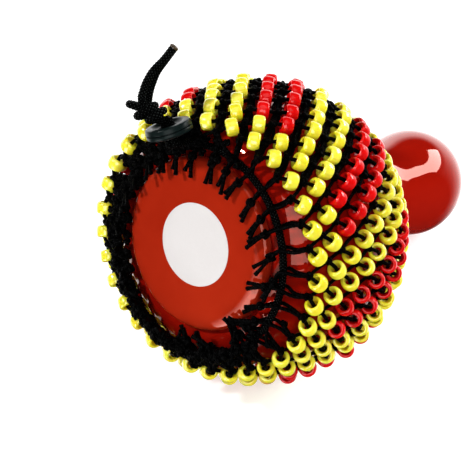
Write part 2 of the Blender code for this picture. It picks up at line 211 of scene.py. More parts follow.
# ------------------------------------------------------------------- mesh maker
class Sheet:
    """Collects closed bodies, with corner UVs (turns, metres) and a tone per body."""

    def __init__(self):
        self.co, self.faces, self.uv, self.tone, self.count = [], [], [], [], 0

    def add(self, co, faces, uv, tone=0.5):
        self.co.append(np.asarray(co, float))
        self.faces.extend([tuple(int(k) + self.count for k in f) for f in faces])
        self.uv.extend(uv)
        self.tone.extend([tone] * len(co))
        self.count += len(co)

    def tube(self, path, radius, sides=8, tone=0.5, closed=False, relief=None,
             blunt=0.55, start=0.0):
        """A round cord along path; relief(turn, s) is added to its radius."""
        p = np.asarray(path, float)
        n = len(p)
        r = np.full(n, radius) if np.isscalar(radius) else np.asarray(radius, float)
        if closed:
            tangent = np.roll(p, -1, 0) - np.roll(p, 1, 0)
        else:
            tangent = np.gradient(p, axis=0)
        tangent /= np.linalg.norm(tangent, axis=1)[:, None]
        seed = np.array([0.0, 0.0, 1.0]) if abs(tangent[0, 2]) < 0.9 else np.array([1.0, 0.0, 0.0])
        normal = np.zeros_like(p)
        normal[0] = np.cross(tangent[0], seed)
        normal[0] /= np.linalg.norm(normal[0])
        for i in range(1, n):
            v = normal[i - 1] - tangent[i] * np.dot(normal[i - 1], tangent[i])
            normal[i] = v / np.linalg.norm(v)
        binormal = np.cross(tangent, normal)
        step = np.linalg.norm(np.diff(p, axis=0), axis=1)
        s = start + np.concatenate([[0.0], np.cumsum(step)])
        turn = np.arange(sides) / sides
        theta = 2 * math.pi * turn
        rr = np.repeat(r[:, None], sides, 1)
        if relief is not None:
            rr = rr + relief(turn[None, :], s[:, None])
        if closed:
            twist = math.atan2(np.dot(normal[-1] - tangent[0] * np.dot(normal[-1], tangent[0]), binormal[0]),
                               np.dot(normal[-1], normal[0]))
            spread = -twist * np.arange(n) / n
        else:
            spread = np.zeros(n)
        ang = theta[None, :] + spread[:, None]
        ring = (p[:, None, :] + rr[:, :, None]
                * (np.cos(ang)[:, :, None] * normal[:, None, :]
                   + np.sin(ang)[:, :, None] * binormal[:, None, :]))
        co = ring.reshape(-1, 3)
        faces, uv = [], []
        rows = n if closed else n - 1
        length = s[-1] + (np.linalg.norm(p[0] - p[-1]) if closed else 0.0)
        for i in range(rows):
            a, b = i * sides, ((i + 1) % n) * sides
            v0, v1 = s[i], (s[i + 1] if i + 1 < n else length)
            for j in range(sides):
                k = (j + 1) % sides
                faces.append((a + j, a + k, b + k, b + j))
                u0, u1 = j / sides, (j + 1) / sides
                uv.extend(((u0, v0), (u1, v0), (u1, v1), (u0, v1)))
        if not closed:
            extra = []
            base = n * sides
            for end, sign, rim in ((0, -1.0, 0), (n - 1, 1.0, (n - 1) * sides)):
                size = rr[end].mean()
                centre = p[end] + sign * tangent[end] * size * blunt
                middle = (p[end][None, :] + sign * tangent[end] * size * blunt * 0.72
                          + (ring[end] - p[end]) * 0.66)
                at = base + len(extra)
                extra.extend(list(middle))
                extra.append(centre)
                tip = at + sides
                for j in range(sides):
                    k = (j + 1) % sides
                    quad = (rim + j, rim + k, at + k, at + j)
                    fan = (at + j, at + k, tip)
                    if sign < 0:
                        quad, fan = quad[::-1], fan[::-1]
                    faces.append(quad)
                    uv.extend([(j / sides, s[end])] * 4)
                    faces.append(fan)
                    uv.extend([(j / sides, s[end])] * 3)
            co = np.concatenate([co, np.array(extra)])
        self.add(co, faces, uv, tone)

    def lathe(self, profile, steps, centre=None, axis=None, tone=0.5):
        """Turn (radius, height) pairs, outer wall upwards, about an axis."""
        prof = [(float(r), float(z)) for r, z in profile]
        loop = (prof[0][0] > 1e-7 and prof[-1][0] > 1e-7)
        co, index = [], []
        for r, z in prof:
            if r < 1e-7:
                index.append([len(co)])
                co.append((0.0, 0.0, z))
            else:
                index.append(list(range(len(co), len(co) + steps)))
                co.extend((r * math.cos(2 * math.pi * k / steps),
                           r * math.sin(2 * math.pi * k / steps), z) for k in range(steps))
        run = [0.0]
        for (r0, z0), (r1, z1) in zip(prof, prof[1:] + prof[:1]):
            run.append(run[-1] + math.hypot(r1 - r0, z1 - z0))
        faces, uv = [], []
        spans = len(prof) if loop else len(prof) - 1
        for i in range(spans):
            a, b = index[i], index[(i + 1) % len(prof)]
            v0, v1 = run[i], run[i + 1]
            for j in range(steps):
                k = (j + 1) % steps
                u0, u1 = j / steps, (j + 1) / steps
                if len(a) == 1:
                    faces.append((a[0], b[k], b[j]))
                    uv.extend(((u0, v0), (u1, v1), (u0, v1)))
                elif len(b) == 1:
                    faces.append((a[j], a[k], b[0]))
                    uv.extend(((u0, v0), (u1, v0), (u0, v1)))
                else:
                    faces.append((a[j], a[k], b[k], b[j]))
                    uv.extend(((u0, v0), (u1, v0), (u1, v1), (u0, v1)))
        co = np.array(co)
        if axis is not None:
            co = co @ np.array(frame_to(axis)).T
        if centre is not None:
            co = co + np.array(centre)
        self.add(co, faces, uv, tone)

    def piece(self, name, look, body, nodes=()):
        mesh = bpy.data.meshes.new(name)
        mesh.from_pydata(to_world(np.concatenate(self.co)).tolist(), [], self.faces)
        layer = mesh.uv_layers.new(name="wrap")
        layer.data.foreach_set("uv", np.array(self.uv, np.float32).ravel())
        tone = mesh.attributes.new("tone", "FLOAT", "POINT")
        tone.data.foreach_set("value", np.array(self.tone, np.float32))
        mesh.polygons.foreach_set("use_smooth", np.ones(len(self.faces), bool))
        mesh.update()
        mesh.materials.append(look)
        obj = bpy.data.objects.new(name, mesh)
        bpy.context.scene.collection.objects.link(obj)
        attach(obj, body)
        if nodes:
            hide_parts(*nodes)
        return obj


def frame_to(axis):
    """Rotation that takes local Z to axis."""
    return Vector((0, 0, 1)).rotation_difference(Vector(axis)).to_matrix()


# -------------------------------------------------------------------- materials
def new_look(name):
    look = bpy.data.materials.new(name)
    look.use_nodes = True
    tree = look.node_tree
    return look, tree, tree.nodes["Principled BSDF"]


def node(tree, kind, **values):
    made = tree.nodes.new(kind)
    for key, value in values.items():
        if key in made.inputs:
            made.inputs[key].default_value = value
        else:
            setattr(made, key, value)
    return made


def object_place(tree):
    return node(tree, "ShaderNodeTexCoord").outputs["Object"]


def noise(tree, place, scale, detail=3.0, roughness=0.5):
    made = node(tree, "ShaderNodeTexNoise", Scale=scale, Detail=detail, Roughness=roughness)
    tree.links.new(place, made.inputs["Vector"])
    return made.outputs["Fac"]


def ramp(tree, value, *stops):
    made = node(tree, "ShaderNodeValToRGB")
    tree.links.new(value, made.inputs["Fac"])
    elements = made.color_ramp.elements
    while len(elements) < len(stops):
        elements.new(0.5)
    for element, (at, colour) in zip(elements, stops):
        element.position = at
        element.color = (*colour, 1.0) if len(colour) == 3 else colour
    return made.outputs["Color"]


def span(tree, value, low, high, start=0.0, stop=1.0):
    made = node(tree, "ShaderNodeMapRange")
    made.inputs["From Min"].default_value = start
    made.inputs["From Max"].default_value = stop
    made.inputs["To Min"].default_value = low
    made.inputs["To Max"].default_value = high
    tree.links.new(value, made.inputs["Value"])
    return made.outputs["Result"]


def math_node(tree, kind, a, b=None):
    made = node(tree, "ShaderNodeMath", operation=kind)
    for slot, value in zip(made.inputs, (a, b)):
        if value is None:
            continue
        if isinstance(value, (int, float)):
            slot.default_value = value
        else:
            tree.links.new(value, slot)
    return made.outputs[0]


def bump(tree, shader, height, strength, distance):
    made = node(tree, "ShaderNodeBump", Strength=strength, Distance=distance)
    tree.links.new(height, made.inputs["Height"])
    tree.links.new(made.outputs["Normal"], shader.inputs["Normal"])
    return made


def lacquer_look(name, low, mid, high):
    look, tree, shader = new_look(name)
    place = object_place(tree)
    cloud = noise(tree, place, 22.0, 4.0, 0.55)
    tree.links.new(ramp(tree, cloud, (0.3, low), (0.5, mid), (0.72, high)), shader.inputs["Base Color"])
    smear = noise(tree, place, 60.0, 5.0, 0.6)
    tree.links.new(span(tree, smear, 0.03, 0.06, 0.3, 0.7), shader.inputs["Roughness"])
    peel = noise(tree, place, 420.0, 2.0, 0.5)
    bump(tree, shader, peel, 0.0015, 0.0002)
    shader.inputs["Specular IOR Level"].default_value = 0.5
    shader.inputs["Specular Tint"].default_value = (1.0, 0.30, 0.18, 1.0)
    shader.inputs["Coat Weight"].default_value = 0.4
    shader.inputs["Coat Roughness"].default_value = 0.03
    shader.inputs["Coat IOR"].default_value = 1.5
    return look


def bead_look(name, low, mid, high, rough, coat):
    look, tree, shader = new_look(name)
    place = object_place(tree)
    tone = node(tree, "ShaderNodeAttribute", attribute_name="tone").outputs["Fac"]
    swirl = noise(tree, place, 260.0, 2.0, 0.5)
    mixed = math_node(tree, "ADD", math_node(tree, "MULTIPLY", tone, 0.82),
                      math_node(tree, "MULTIPLY", swirl, 0.18))
    tree.links.new(ramp(tree, mixed, (0.15, low), (0.5, mid), (0.85, high)),
                   shader.inputs["Base Color"])
    haze = noise(tree, place, 700.0, 3.0, 0.6)
    tree.links.new(span(tree, haze, rough, rough + 0.1, 0.3, 0.7), shader.inputs["Roughness"])
    ripple = noise(tree, place, 330.0, 1.0, 0.4)
    bump(tree, shader, ripple, 0.03, 0.0003)
    shader.inputs["Coat Weight"].default_value = coat
    shader.inputs["Coat Roughness"].default_value = 0.08
    return look


def cord_look(name, strands, pitch, depth, crest_sheen, shine, rough):
    """Black braided cord: two sets of strands wind round it crossing each other; the base colour paints a sheen on
    the strand crests and shade in the grooves.
    """
    look, tree, shader = new_look(name)
    wrap = node(tree, "ShaderNodeUVMap", uv_map="wrap").outputs["UV"]
    parts = node(tree, "ShaderNodeSeparateXYZ")
    tree.links.new(wrap, parts.inputs[0])
    turn = math_node(tree, "MULTIPLY", parts.outputs[0], 2 * math.pi * strands)
    along = math_node(tree, "MULTIPLY", parts.outputs[1], 2 * math.pi / pitch)
    one = math_node(tree, "COSINE", math_node(tree, "ADD", turn, along))
    two = math_node(tree, "COSINE", math_node(tree, "SUBTRACT", turn, along))
    weave = math_node(tree, "MINIMUM", one, two)
    place = object_place(tree)
    fuzz = noise(tree, place, 2600.0, 2.0, 0.6)
    patch = noise(tree, place, 90.0, 3.0, 0.5)
    height = math_node(tree, "ADD", weave, math_node(tree, "MULTIPLY", fuzz, 0.9))
    bump(tree, shader, height, 0.8, depth)
    # Base colour: painted sheen on the strand crests and painted shade in the grooves between strands, mixed with
    # random patches.
    crest_sheen_and_patches = math_node(tree, "ADD", math_node(tree, "MULTIPLY", span(tree, weave, 0.0, 1.0, -0.6, 1.0), 0.7),
                      math_node(tree, "MULTIPLY", patch, 0.3))
    tree.links.new(ramp(tree, crest_sheen_and_patches, (0.2, (0.0003, 0.0003, 0.0003)),
                        (0.66, (0.0008, 0.0008, 0.0009)),
                        (0.92, crest_sheen)), shader.inputs["Base Color"])
    tree.links.new(span(tree, fuzz, rough, rough + 0.22, 0.3, 0.7), shader.inputs["Roughness"])
    shader.inputs["Specular IOR Level"].default_value = shine
    return look


def plastic_look():
    look, tree, shader = new_look("black_plastic")
    place = object_place(tree)
    tint = noise(tree, place, 120.0, 4.0, 0.6)
    tree.links.new(ramp(tree, tint, (0.3, (0.0047, 0.0092, 0.0088)),
                        (0.7, (0.0079, 0.0146, 0.0140))), shader.inputs["Base Color"])
    scuff = noise(tree, place, 480.0, 4.0, 0.65)
    tree.links.new(span(tree, scuff, 0.27, 0.32, 0.3, 0.75), shader.inputs["Roughness"])
    bump(tree, shader, scuff, 0.01, 0.0001)
    shader.inputs["Specular IOR Level"].default_value = 0.13
    return look


def label_look():
    look, tree, shader = new_look("label_white")
    place = object_place(tree)
    fibre = noise(tree, place, 900.0, 3.0, 0.6)
    cloud = noise(tree, place, 40.0, 2.0, 0.5)
    both = math_node(tree, "ADD", math_node(tree, "MULTIPLY", fibre, 0.4),
                     math_node(tree, "MULTIPLY", cloud, 0.6))
    tree.links.new(ramp(tree, both, (0.3, (0.640, 0.610, 0.600)), (0.7, (0.676, 0.646, 0.636))),
                   shader.inputs["Base Color"])
    tree.links.new(span(tree, fibre, 0.36, 0.5, 0.3, 0.7), shader.inputs["Roughness"])
    bump(tree, shader, fibre, 0.05, 0.0001)
    return look


def tip_look():
    look, tree, shader = new_look("sealed_tip")
    place = object_place(tree)
    melt = noise(tree, place, 700.0, 3.0, 0.6)
    tree.links.new(ramp(tree, melt, (0.3, (0.012, 0.008, 0.005)), (0.7, (0.12, 0.075, 0.035))),
                   shader.inputs["Base Color"])
    tree.links.new(span(tree, melt, 0.2, 0.45, 0.3, 0.7), shader.inputs["Roughness"])
    bump(tree, shader, melt, 0.3, 0.0004)
    return look


LACQUER = lacquer_look("red_lacquer", (0.300, 0.0076, 0.0019), (0.334, 0.0093, 0.0026), (0.369, 0.0120, 0.0036))
# The foot disc takes a copy of the shell's red lacquer with green and blue raised: a painted warm reflection on the
# disc face.
FOOT_LACQUER_PAINTED_REFLECTION = lacquer_look("foot_lacquer_painted_reflection", (0.338, 0.0222, 0.0060), (0.378, 0.0268, 0.0077), (0.418, 0.0330, 0.0100))
YELLOW = bead_look("yellow_bead", (0.860, 0.735, 0.026), (0.895, 0.785, 0.048), (0.92, 0.83, 0.076),
                   0.30, 1.0)
soft = YELLOW.node_tree.nodes["Principled BSDF"]
soft.inputs["Subsurface Weight"].default_value = 0.55
soft.inputs["Subsurface Radius"].default_value = (1.0, 0.70, 0.12)
soft.inputs["Subsurface Scale"].default_value = 0.004
soft.inputs["Coat IOR"].default_value = 1.7
RED = bead_look("red_bead", (0.595, 0.0036, 0.0035), (0.66, 0.0047, 0.0046), (0.73, 0.0062, 0.0062),
                0.10, 0.0)
# The crest colours are painted sheen: faint on the net cord, light ticks on the braided drawstring.
NET_CORD = cord_look("net_cord", 3, 2.2 * MM, 0.00022, (0.0018, 0.0020, 0.0022), 0.05, 0.26)
BRAID = cord_look("braided_cord", 6, 1.6 * MM, 0.00020, (0.1000, 0.1180, 0.1120), 0.03, 0.34)
PLASTIC = plastic_look()
LABEL = label_look()
TIP = tip_look()

dice = random.Random(4127)


# ------------------------------------------------------------------- the gourd
def bulb_profile(lift, start, stop, count):
    pairs = []
    for i in range(count):
        a = start + (stop - start) * i / (count - 1)
        out = Vector((math.cos(a) / NET_RADIUS, math.sin(a) / NET_HALF_LENGTH)).normalized()
        pairs.append((NET_RADIUS * math.cos(a) - taper(a) + lift * out.x,
                      NET_CENTRE_Z + NET_HALF_LENGTH * math.sin(a) + lift * out.y))
    return pairs


def spline(knots, per_span, heading):
    """A cubic spline through (r, z) knots, starting out along heading."""
    p = np.array(knots, float)
    n = len(p)
    h = np.linalg.norm(np.diff(p, axis=0), axis=1)
    slope = np.diff(p, axis=0) / h[:, None]
    system, known = np.zeros((n, n)), np.zeros((n, 2))
    system[0, :2] = 2 * h[0], h[0]
    known[0] = 6 * (slope[0] - np.array(heading))
    for i in range(1, n - 1):
        system[i, i - 1:i + 2] = h[i - 1], 2 * (h[i - 1] + h[i]), h[i]
        known[i] = 6 * (slope[i] - slope[i - 1])
    system[-1, -1] = 1.0
    bend = np.linalg.solve(system, known)
    fine = []
    for i in range(n - 1):
        for k in range(per_span):
            t = h[i] * k / per_span
            fine.append(p[i] + (slope[i] - h[i] * (2 * bend[i] + bend[i + 1]) / 6) * t
                        + bend[i] / 2 * t ** 2 + (bend[i + 1] - bend[i]) / (6 * h[i]) * t ** 3)
    return [(float(q[0]), float(q[1])) for q in fine + [p[-1]]]


def shell_profile():
    widest = KNOB_Z - 1.5 * MM
    knots = []
    for k in range(13):
        t = math.radians(7.5 * k)
        knots.append((KNOB_RADIUS * math.sin(t), widest + (GOURD_LENGTH - widest) * math.cos(t)))
    knots += [(r * MM, z * MM) for r, z in            # the handle narrows like a cone
              ((29.63, 184.0), (28.5, 178.0), (26.6, 170.0), (24.75, 162.0), (23.45, 156.0))]
    knots += [(WAIST_RADIUS + 0.3 * MM, WAIST_Z), (WAIST_RADIUS + 0.1 * MM, WAIST_Z - 5.5 * MM),
              (WAIST_RADIUS + 1.4 * MM, WAIST_Z - 11 * MM),
              (WAIST_RADIUS + 5.6 * MM, WAIST_Z - 23 * MM),
              (WAIST_RADIUS + 11.2 * MM, WAIST_Z - 34 * MM)]
    bulb = bulb_profile(-(BEAD_RADIUS + NET_GAP), math.radians(50), math.radians(-20), 14)
    floor = FOOT_HEIGHT + 0.3 * MM
    lean = math.atan2(math.sin(math.radians(20)) / NET_HALF_LENGTH, math.cos(math.radians(20)) / NET_RADIUS)
    swing = (bulb[-1][1] - floor) / (1.0 - math.sin(lean))
    turn_r = bulb[-1][0] - swing * math.cos(lean)
    turn_z = bulb[-1][1] + swing * math.sin(lean)
    shoulder = []
    for k in range(1, 9):
        a = lean + (math.pi / 2 - lean) * k / 8
        shoulder.append((turn_r + swing * math.cos(a), turn_z - swing * math.sin(a)))
    fine = spline(knots + bulb + shoulder, 4, (1.0, 0.0))
    outer = fine + [(SHELL_OPENING, floor)]
    inner = []
    for i in range(3, len(fine) - 6, 5):
        dr, dz = fine[i + 1][0] - fine[i - 1][0], fine[i + 1][1] - fine[i - 1][1]
        size = math.hypot(dr, dz)
        p = (fine[i][0] + dz / size * WALL, fine[i][1] - dr / size * WALL)
        if p[0] > 2 * MM and p[1] > floor + WALL:
            inner.append(p)
    inner = [(0.0, GOURD_LENGTH - WALL)] + inner + [(SHELL_OPENING, floor + WALL)]
    return inner + list(reversed(outer))


shell = Sheet()
shell.lathe(shell_profile(), 144)
shell.piece("gourd_shell_lacquered", LACQUER, "gourd", ["gourd_shell"])

foot = Sheet()
face = [(0.0, 0.0), (12.0 * MM, 0.0), (24.0 * MM, 0.0)]
r, z = 33.75 * MM, 0.0
for k in range(61):
    if k % 6 == 0:
        face.append((r, z))
    fall = math.radians(14.0) * ((k + 0.5) / 60) ** 1.5
    r, z = r + 7.5 / 60 * MM * math.cos(fall), z + 7.5 / 60 * MM * math.sin(fall)
bend = 3.2 * MM
rim = [(r + bend * (math.sin(a) - math.sin(math.radians(14))), z + bend * (math.cos(math.radians(14)) - math.cos(a)))
       for a in (math.radians(14 + 76 * k / 12) for k in range(13))]
edge_r, edge_z = rim[-1]
foot.lathe(face + rim[1:] + [(edge_r, 4.4 * MM), (edge_r - 0.25 * MM, FOOT_HEIGHT + 0.2 * MM),
           (edge_r - 3 * MM, FOOT_HEIGHT + 0.2 * MM), (0.0, FOOT_HEIGHT + 0.2 * MM)], 144)
# the foot disc's lacquer holds a painted warm reflection in its base colour
foot.piece("foot_disc_lacquered", FOOT_LACQUER_PAINTED_REFLECTION, "gourd", ["foot_disc"])

label = Sheet()
label.lathe([(0.0, -0.16 * MM), (9 * MM, -0.16 * MM), (LABEL_RADIUS - 0.15 * MM, -0.16 * MM),
             (LABEL_RADIUS, -0.10 * MM), (LABEL_RADIUS, -0.02 * MM), (0.0, -0.02 * MM)], 96)
label.piece("blank_label", LABEL, "gourd")


# -------------------------------------------------------------------- bead net
def bead_profile():
    """Pony bead: rounded barrel with a wide hole and soft edges."""
    outer = [(3.20, -3.00), (3.72, -2.82), (4.10, -2.42), (4.34, -1.78), (4.46, -0.95), (4.5, 0.0),
             (4.46, 0.95), (4.34, 1.78), (4.10, 2.42), (3.72, 2.82), (3.20, 3.00)]
    hole = [(2.72, 2.88), (2.40, 2.52), (2.22, 1.90), (2.12, 0.0), (2.22, -1.90),
            (2.40, -2.52), (2.72, -2.88)]
    return [(r * MM, z * MM) for r, z in outer + hole]


BEAD = Sheet()
BEAD.lathe(bead_profile(), 28)
BEAD_CO = np.concatenate(BEAD.co)


def along(table, x):
    """Value at x of a table of (x, value) pairs."""
    return float(np.interp(x, [row[0] for row in table], [row[1] for row in table]))


def degrees_round(angle):
    return (math.degrees(angle) + 180.0) % 360.0 - 180.0


LEAN_NEAR = [(-180, 60), (-150, 80), (-60, 82), (-35, 66), (-10, 51), (0, 50), (30, 45), (90, 46),
             (110, 38), (130, 46), (160, 52), (180, 60)]
LEAN_FAR = [(-180, 55), (-150, 68), (-60, 74), (-35, 62), (-10, 52), (0, 48), (25, 38), (40, 32), (65, 33),
            (74, 28), (80, 19), (95, 18), (120, 25), (150, 40), (180, 55)]
PITCH = [(-180, 0), (0, 2), (40, 6), (55, 8), (65, 14), (75, 22), (95, 24), (110, 18), (130, 6),
         (150, 0), (180, 0)]
COLUMN_LEAN = [dice.gauss(0.0, 5.0) for _ in range(COLUMNS)]
for column, turn in ((1, 18.0), (2, -12.0), (3, 4.0), (4, -7.0)):
    COLUMN_LEAN[column] = turn


def site(ring, column):
    """Middle, hole direction, outward and along-net directions of a bead."""
    angle = column_angle(ring, column)
    here = net_point(ring, angle)
    toward = (net_point(ring + 0.1, angle) - net_point(ring - 0.1, angle)).normalized()
    out = (net_point(ring, angle, 1 * MM) - here).normalized()
    tangent = toward.cross(out).normalized()
    if tangent.dot(around(angle + 0.1) - around(angle)) < 0:
        tangent.negate()
    at = degrees_round(angle)
    far = ease(ring / 4.0)
    turn = math.radians(along(LEAN_NEAR, at) * (1 - far) + along(LEAN_FAR, at) * far
                        + COLUMN_LEAN[column])
    hole = (toward * math.cos(turn) + tangent * math.sin(turn)).normalized()
    tip = math.radians(along(PITCH, at)) * (0.5 + 0.5 * ease(ring / 2.0))
    hole = (hole * math.cos(tip) - out * math.sin(tip)).normalized()
    return here, hole, out, toward


def is_red(column):
    return ((column % COLUMNS + 1) // 2) % 2 == 0


bead_at, knot_at, knot_size = {}, {}, {}
for column in range(COLUMNS):
    for ring in range(RINGS):
        here, hole, out, toward = site(ring, column)
        here = here + Vector([dice.gauss(0, 0.28) for _ in range(3)]) * MM
        hole = (hole + out.cross(hole) * dice.gauss(0, 0.08) + out * dice.gauss(0, 0.05)).normalized()
        bead_at[ring, column] = (here, hole, out)
        at = degrees_round(math.atan2(-here.x, here.y))
        spread = ease((at - 45.0) / 25.0) * ease((165.0 - at) / 20.0)      # the open side of the net
        hidden = ease((-25.0 - at) / 20.0)                                 # its far side
        flat = (hole - out * hole.dot(out)).normalized()
        back = KNOT_STEP - 0.5 * MM * spread + dice.uniform(-0.3, 0.3) * MM
        sunk = (0.7 + (0.7 if ring else 0.3) * spread + 1.6 * hidden) * MM
        knot_at[ring, column] = here - flat * back - out * sunk - toward * 1.2 * MM * hidden
        knot_size[ring, column] = 1.0 - (0.24 if ring else 0.05) * spread - 0.16 * hidden

ends = Sheet()
for column in range(COLUMNS):
    beads = Sheet()
    for ring in range(RINGS):
        here, hole, out = bead_at[ring, column]
        spin_by = Matrix.Rotation(dice.uniform(0, 2 * math.pi), 3, "Z")
        turn = np.array(frame_to(hole) @ spin_by)
        co = BEAD_CO @ turn.T + np.array(here)
        target = ends if is_red(column) and ring in (0, 1, 9, 10) else beads
        target.add(co, BEAD.faces, BEAD.uv, min(1.0, max(0.0, dice.gauss(0.5, 0.2))))
    word = "red" if is_red(column) else "yellow"
    beads.piece("%s_beads_%02d" % (word, column + 1), RED if is_red(column) else YELLOW,
                "bead_net", ["%s_string_%02d" % (word, column + 1)])
ends.piece("yellow_end_beads", YELLOW, "bead_net")


def trefoil(size, height, count):
    """A closed three-lobed loop, the shape of a pulled-tight knot."""
    t = np.arange(count) / count * 2 * math.pi
    return np.stack([size * (np.sin(t) + 2 * np.sin(2 * t)),
                     size * (np.cos(t) - 2 * np.cos(2 * t)),
                     -height * np.sin(3 * t)], axis=1)


KNOT_PATH = trefoil(0.56 * MM, 0.95 * MM, 30)
cords = Sheet()


def tie(sheet, at, axis, scale=1.0, radius=CORD_RADIUS, stretch=1.0):
    turn = np.array(frame_to(axis) @ Matrix.Rotation(dice.uniform(0, 2 * math.pi), 3, "Z"))
    path = KNOT_PATH * np.array([scale, scale, scale * stretch])
    sheet.tube(path @ turn.T + np.array(at), radius, 7, closed=True)


def strand(sheet, knots, radius=CORD_RADIUS, step=1.5 * MM, sides=7, per_span=6, **more):
    sheet.tube(resample(smooth_path(knots, per_span), step), radius, sides, **more)


def packed(angle):
    """1 where the net is drawn tight and its cords crowd together, 0 where it is spread."""
    at = degrees_round(angle)
    return ease((60.0 - at) / 30.0) if at > -90 else ease((at + 190.0) / 40.0)


for (ring, column), knot in knot_at.items():
    here, hole, out = bead_at[ring, column]
    crowd = packed(math.atan2(-here.x, here.y))
    tie(cords, knot, (hole + Vector([dice.gauss(0, 0.25) for _ in range(3)])).normalized(),
        dice.uniform(0.95, 1.1) * (1.0 + 0.15 * crowd) * knot_size[ring, column])
    # through the bead, on to the knot of the next bead along the hole
    if ring + 1 < RINGS:
        goal = knot_at[ring + 1, (column + 1) % COLUMNS]
    else:
        angle = column_angle(ring + 1, column + 0.7)
        goal = net_point(RINGS - 0.05, angle, -2.2 * MM)
    leave = here + hole * (BEAD_HALF + 1.2 * MM)
    strand(cords, [knot, here - hole * (BEAD_HALF + 0.6 * MM), here, leave,
                   (leave + goal) / 2 + out * dice.uniform(0.0, 0.6) * MM, goal], CORD_RADIUS * 1.08)
    # the second cord leaves the knot beside the bead
    if ring + 1 < RINGS:
        goal = knot_at[ring + 1, column]
    else:
        goal = net_point(RINGS - 0.05, column_angle(ring + 1, column - 0.2), -2.2 * MM)
    middle = (knot + goal) / 2 - out * dice.uniform(0.0, 0.8) * MM
    middle += hole * dice.gauss(0, 0.5) * MM
    strand(cords, [knot, middle, goal])
    if crowd > 0.4 and ring + 1 < RINGS:
        aside = out.cross(goal - knot).normalized()
        for sign in (-1.0, 1.0):
            shift = aside * sign * dice.uniform(1.3, 1.9) * MM - out * dice.uniform(0.2, 1.2) * MM
            strand(cords, [knot + shift * 0.4, middle + shift, goal + shift * 0.4])

# from each first knot two cords run to the drawstring, loop round it and are tied
cut_ends = Sheet()
DOWN = np.array([0.0, 0.0, -1.0]) @ GOURD            # gravity in the gourd's axes
down = Vector(DOWN)
INWARD = [(-180, 1.0), (-120, 1.0), (-60, 0.95), (-20, 0.5), (10, 0.35), (50, 0.4), (75, 0.5),
          (95, 0.8), (125, 0.8), (150, 0.9), (180, 1.0)]
HANG = [(-180, 0.1), (-120, 0.25), (-60, 0.35), (-20, 0.75), (10, 0.85), (50, 0.85), (75, 0.75),
        (95, 0.4), (125, 0.3), (150, 0.2), (180, 0.1)]
REACH = [(-180, 5.0), (-60, 4.6), (-20, 5.2), (10, 6.0), (75, 6.0), (150, 5.6), (180, 5.0)]
CUT = [(-180, 7.6), (-130, 10.5), (-50, 10.5), (-20, 9.5), (10, 10.6), (75, 10.8), (150, 10.0), (180, 7.0)]
WILD = [(-180, 0.25), (-30, 0.2), (0, 0.14), (55, 0.2), (80, 0.35), (150, 0.4), (180, 0.3)]
# Where slack cords are heaped; the rise from 106° to 150° also darkens shell that is only in shade, standing in for
# shadow.
PILED_CORDS_AND_SHADE = [(-180, 1.0), (-28, 1.0), (-12, 0.6), (4, 0.3), (16, 0.0), (106, 0.0), (124, 0.5),
         (138, 0.9), (150, 1.0), (180, 1.0)]
INNER = [(-180, 1.2), (-155, 1.4), (-125, 2.2), (-90, 2.15), (-60, 1.75), (-35, 1.6), (-15, 1.3), (120, 1.1), (180, 1.2)]


RIM_BED = [(38.0, -1.9), (41.0, -1.5), (42.5, -0.8), (44.0, 0.2), (46.0, -0.2), (48.0, -0.6)]


def any_way():
    return Vector([dice.gauss(0, 1.0) for _ in range(3)]).normalized()


